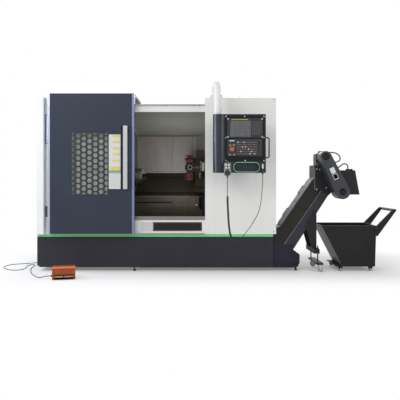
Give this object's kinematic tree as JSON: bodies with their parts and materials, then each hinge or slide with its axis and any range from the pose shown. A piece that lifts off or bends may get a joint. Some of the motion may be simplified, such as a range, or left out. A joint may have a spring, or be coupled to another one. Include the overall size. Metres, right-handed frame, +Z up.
{
  "type": "cnc turning lathe",
  "caption": "Slant-bed turning lathe with a sliding door, swinging control pendant, chip conveyor, chip cart and a double foot switch.",
  "frame": {"origin": "on the floor, under the middle of the whole without its cords", "axes": "+X to the right along the front, +Y to the back, +Z up; the door and pendant face -Y"},
  "size_m": [4.5562, 2.25, 2.127],
  "materials": {
    "white_paint": "fine textured powder coat",
    "navy_paint": "satin powder coat",
    "charcoal_paint": "fine textured paint",
    "conveyor_paint": "satin paint",
    "green_paint": "satin",
    "zinc_steel": "zinc",
    "bed_iron": "oiled",
    "liner_steel": "brushed sheet",
    "guard_steel": "oiled paint",
    "stainless": "brushed",
    "ground_steel": "turned and ground",
    "jaw_steel": "machined",
    "turret_steel": "black oxide",
    "holder_red": "dark red",
    "trim_steel": "bright anodised",
    "grille_black": "matt",
    "window_glass": "clear",
    "aluminium": "satin anodised",
    "panel_black": "fine texture",
    "pulse_grey": "satin",
    "cord_black": "matt jacket",
    "button_red": "gloss",
    "button_green": "gloss",
    "cover_grey": "satin",
    "motor_black": "satin",
    "wheel_rubber": "matt",
    "cart_paint": "satin",
    "orange_paint": "hammer finish"
  },
  "bodies": {
    "machine": {"base_frame": "charcoal_paint", "green_strip": "green_paint", "levelling_feet": "zinc_steel", "slant_bed": "bed_iron", "left_enclosure": "white_paint", "right_enclosure": "white_paint", "front_frame": "white_paint", "rear_cabinet": "white_paint", "chamber_liner": "liner_steel", "bed_guard": "guard_steel", "sill_strip": "stainless", "headstock": "bed_iron", "door_rails": "ground_steel", "pendant_arm": "white_paint", "conveyor_trough": "conveyor_paint", "conveyor_covers": "cover_grey", "conveyor_head_box": "conveyor_paint", "drive_guard": "conveyor_paint", "gear_motor": "motor_black", "discharge_hood": "conveyor_paint", "support_leg": "conveyor_paint", "motor_cord": "cord_black", "cart_tub": "cart_paint", "cart_handle": "cart_paint", "pedal_housing": "orange_paint", "pedal_cord": "cord_black"},
    "door": {"door_shell": "navy_paint", "door_trims": "trim_steel", "door_honeycomb": "grille_black", "door_window": "window_glass", "door_handle": "aluminium"},
    "pendant": {"pendant_case": "navy_paint", "screen_unit": "panel_black", "operator_panel": "panel_black", "pendant_handle": "grille_black", "handwheel_unit": "pulse_grey", "pendant_cord": "cord_black"},
    "pulse_dial": {"handwheel_dial": "panel_black"},
    "estop": {"estop_button": "button_red"},
    "cycle_start": {"cycle_start_button": "button_green"},
    "feed_hold": {"feed_hold_button": "button_red"},
    "power_on": {"power_on_button": "button_green"},
    "power_off": {"power_off_button": "button_red"},
    "feed_dial": {"feed_knob": "panel_black"},
    "speed_dial": {"speed_knob": "panel_black"},
    "spindle": {"spindle": "ground_steel", "chuck_body": "ground_steel"},
    "chuck_jaw_1": {"jaw_1": "jaw_steel"},
    "chuck_jaw_2": {"jaw_2": "jaw_steel"},
    "chuck_jaw_3": {"jaw_3": "jaw_steel"},
    "carriage": {"saddle": "bed_iron"},
    "slide": {"cross_slide": "bed_iron"},
    "turret": {"turret_disc": "turret_steel", "tool_holders": "holder_red"},
    "left_pedal": {"pedal_left": "panel_black"},
    "right_pedal": {"pedal_right": "panel_black"},
    "conveyor_leg_wheels": {"leg_wheels": "wheel_rubber"},
    "conveyor_foot_wheels": {"foot_wheels": "wheel_rubber"},
    "cart_wheels_left": {"cart_left_wheels": "wheel_rubber"},
    "cart_wheels_right": {"cart_right_wheels": "wheel_rubber"}
  },
  "joints": [
    {"name": "door_slide", "type": "slide", "parent": "machine", "child": "door", "axis": [1, 0, 0], "range_m": [0, 0.8]},
    {"name": "pendant_swing", "type": "hinge", "parent": "machine", "child": "pendant", "pos_m": [0.001, -0.81, 1.745], "axis": [0, 0, -1], "range_deg": [0, 90]},
    {"name": "pulse_dial_turn", "type": "hinge", "parent": "pendant", "child": "pulse_dial", "pos_m": [0.106, -0.918, 1.11], "axis": [0, -1, 0], "continuous": true},
    {"name": "estop_press", "type": "slide", "parent": "pendant", "child": "estop", "axis": [0, 1, 0], "range_m": [0, 0.005], "stiffness_N_per_m": 800},
    {"name": "cycle_start_press", "type": "slide", "parent": "pendant", "child": "cycle_start", "axis": [0, 1, 0], "range_m": [0, 0.003], "stiffness_N_per_m": 400},
    {"name": "feed_hold_press", "type": "slide", "parent": "pendant", "child": "feed_hold", "axis": [0, 1, 0], "range_m": [0, 0.003], "stiffness_N_per_m": 400},
    {"name": "power_on_press", "type": "slide", "parent": "pendant", "child": "power_on", "axis": [0, 1, 0], "range_m": [0, 0.003], "stiffness_N_per_m": 400},
    {"name": "power_off_press", "type": "slide", "parent": "pendant", "child": "power_off", "axis": [0, 1, 0], "range_m": [0, 0.003], "stiffness_N_per_m": 400},
    {"name": "feed_dial_turn", "type": "hinge", "parent": "pendant", "child": "feed_dial", "pos_m": [0.447, -0.885, 1.44], "axis": [0, -1, 0], "range_deg": [-135, 135]},
    {"name": "speed_dial_turn", "type": "hinge", "parent": "pendant", "child": "speed_dial", "pos_m": [0.447, -0.885, 1.392], "axis": [0, -1, 0], "range_deg": [-135, 135]},
    {"name": "spindle_turn", "type": "hinge", "parent": "machine", "child": "spindle", "pos_m": [-0.95, 0.025, 1.078], "axis": [1, 0, 0], "continuous": true},
    {"name": "jaw_1_slide", "type": "slide", "parent": "spindle", "child": "chuck_jaw_1", "axis": [0, 0, 1], "range_m": [0, 0.004]},
    {"name": "jaw_2_slide", "type": "slide", "parent": "spindle", "child": "chuck_jaw_2", "axis": [0, -0.866, -0.5], "range_m": [0, 0.004]},
    {"name": "jaw_3_slide", "type": "slide", "parent": "spindle", "child": "chuck_jaw_3", "axis": [0, 0.866, -0.5], "range_m": [0, 0.004]},
    {"name": "carriage_slide", "type": "slide", "parent": "machine", "child": "carriage", "axis": [1, 0, 0], "range_m": [-0.4, 0]},
    {"name": "cross_slide_move", "type": "slide", "parent": "carriage", "child": "slide", "axis": [0, 0.7071, 0.7071], "range_m": [0, 0.1]},
    {"name": "turret_index", "type": "hinge", "parent": "slide", "child": "turret", "pos_m": [-0.31, 0.125, 1.19], "axis": [1, 0, 0], "continuous": true},
    {"name": "left_pedal_press", "type": "hinge", "parent": "machine", "child": "left_pedal", "pos_m": [-1.66966, -0.99827, 0.026], "axis": [0.9715, 0.2368, 0], "range_deg": [0, 6], "stiffness_Nm_per_rad": 12, "springref_deg": -6.88},
    {"name": "right_pedal_press", "type": "hinge", "parent": "machine", "child": "right_pedal", "pos_m": [-1.57445, -0.97506, 0.026], "axis": [0.9715, 0.2368, 0], "range_deg": [0, 6], "stiffness_Nm_per_rad": 12, "springref_deg": -6.88},
    {"name": "conveyor_leg_wheels_turn", "type": "hinge", "parent": "machine", "child": "conveyor_leg_wheels", "pos_m": [1.168, -0.3, 0.033], "axis": [0, 1, 0], "continuous": true},
    {"name": "conveyor_foot_wheels_turn", "type": "hinge", "parent": "machine", "child": "conveyor_foot_wheels", "pos_m": [0.898, -0.3, 0.024], "axis": [0, 1, 0], "continuous": true},
    {"name": "cart_wheels_left_turn", "type": "hinge", "parent": "machine", "child": "cart_wheels_left", "pos_m": [1.408, -0.3, 0.023], "axis": [0, 1, 0], "continuous": true},
    {"name": "cart_wheels_right_turn", "type": "hinge", "parent": "machine", "child": "cart_wheels_right", "pos_m": [1.75, -0.3, 0.023], "axis": [0, 1, 0], "continuous": true}
  ],
  "couplings": [
    {"joint": "jaw_2_slide", "follows": "jaw_1_slide", "ratio": 1},
    {"joint": "jaw_3_slide", "follows": "jaw_1_slide", "ratio": 1}
  ]
}
